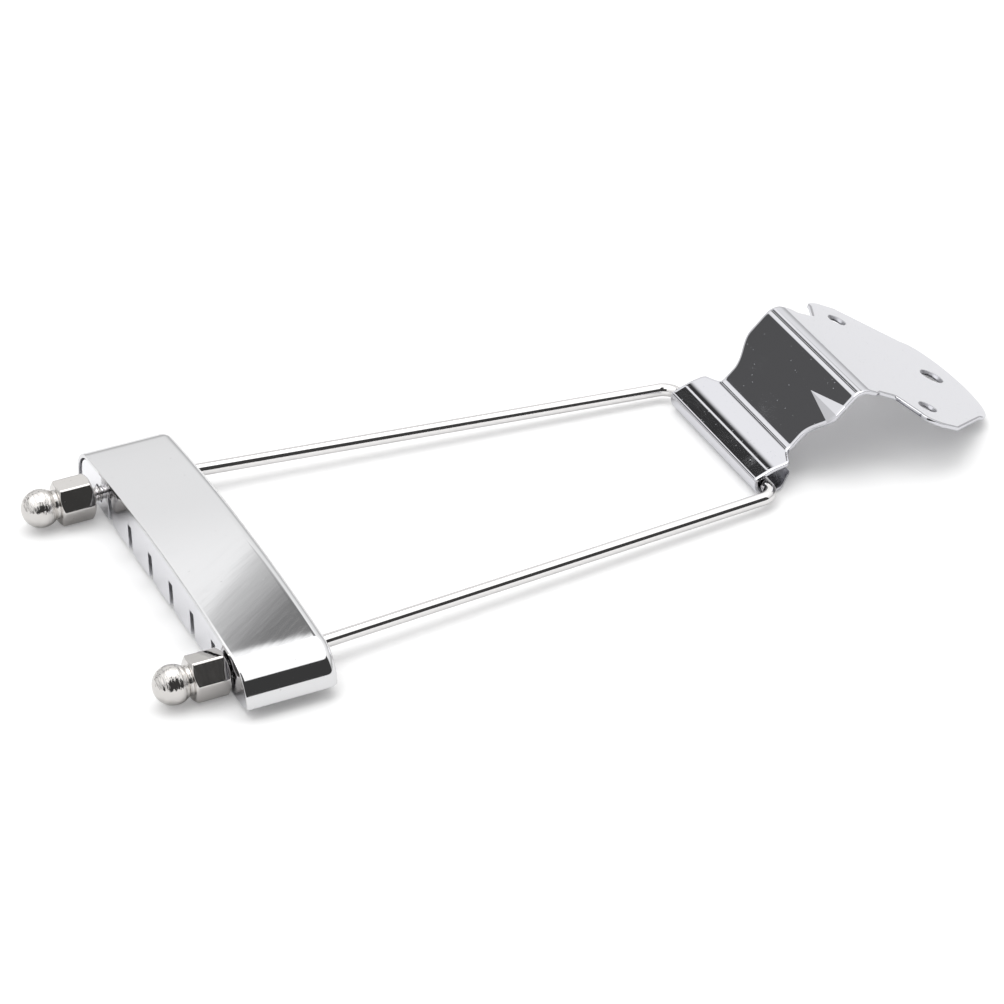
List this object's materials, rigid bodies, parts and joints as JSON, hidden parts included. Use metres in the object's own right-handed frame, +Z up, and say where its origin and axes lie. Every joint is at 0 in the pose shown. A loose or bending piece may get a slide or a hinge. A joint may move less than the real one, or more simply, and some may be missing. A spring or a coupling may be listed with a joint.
{
  "type": "trapeze tailpiece",
  "caption": "Trapeze tailpiece: a slotted string bar with a pressed cover on a threaded wire yoke, held by dome nuts and hinged in a bent sheet mounting bracket.",
  "frame": {"origin": "on the table under the middle of the outline, with the part lying face up as in the picture", "axes": "+X from the string bar towards the mounting plate, +Y across the strings to the far side, +Z up from the table"},
  "size_m": [0.1802, 0.0854, 0.0173],
  "materials": {
    "bracket_chrome": "polished chrome plate",
    "wire_chrome": "polished chrome plate",
    "anchor_chrome": "polished chrome plate",
    "cover_chrome": "polished chrome plate",
    "nut_nickel": "turned and polished nickel plate"
  },
  "bodies": {
    "bracket": {"mounting_bracket": "bracket_chrome"},
    "yoke": {"wire_yoke": "wire_chrome"},
    "string_bar": {"string_anchor_plate": "anchor_chrome", "crossbar_cover": "cover_chrome"},
    "far_nut": {"dome_nut_far": "nut_nickel"},
    "near_nut": {"dome_nut_near": "nut_nickel"}
  },
  "joints": [
    {"name": "yoke_hinge", "type": "hinge", "parent": "bracket", "child": "yoke", "pos_m": [0.03829, 0, 0.0023], "axis": [0, 1, 0], "range_deg": [-186, 158]},
    {"name": "bar_slide", "type": "slide", "parent": "yoke", "child": "string_bar", "axis": [1, 0, 0.0071], "range_m": [0, 0.005]},
    {"name": "far_nut_turn", "type": "hinge", "parent": "yoke", "child": "far_nut", "pos_m": [-0.07683, 0.0319, 0.00413], "axis": [1, 0, 0.0071], "continuous": true},
    {"name": "near_nut_turn", "type": "hinge", "parent": "yoke", "child": "near_nut", "pos_m": [-0.07533, -0.0319, 0.00414], "axis": [1, 0, 0.0071], "continuous": true}
  ]
}
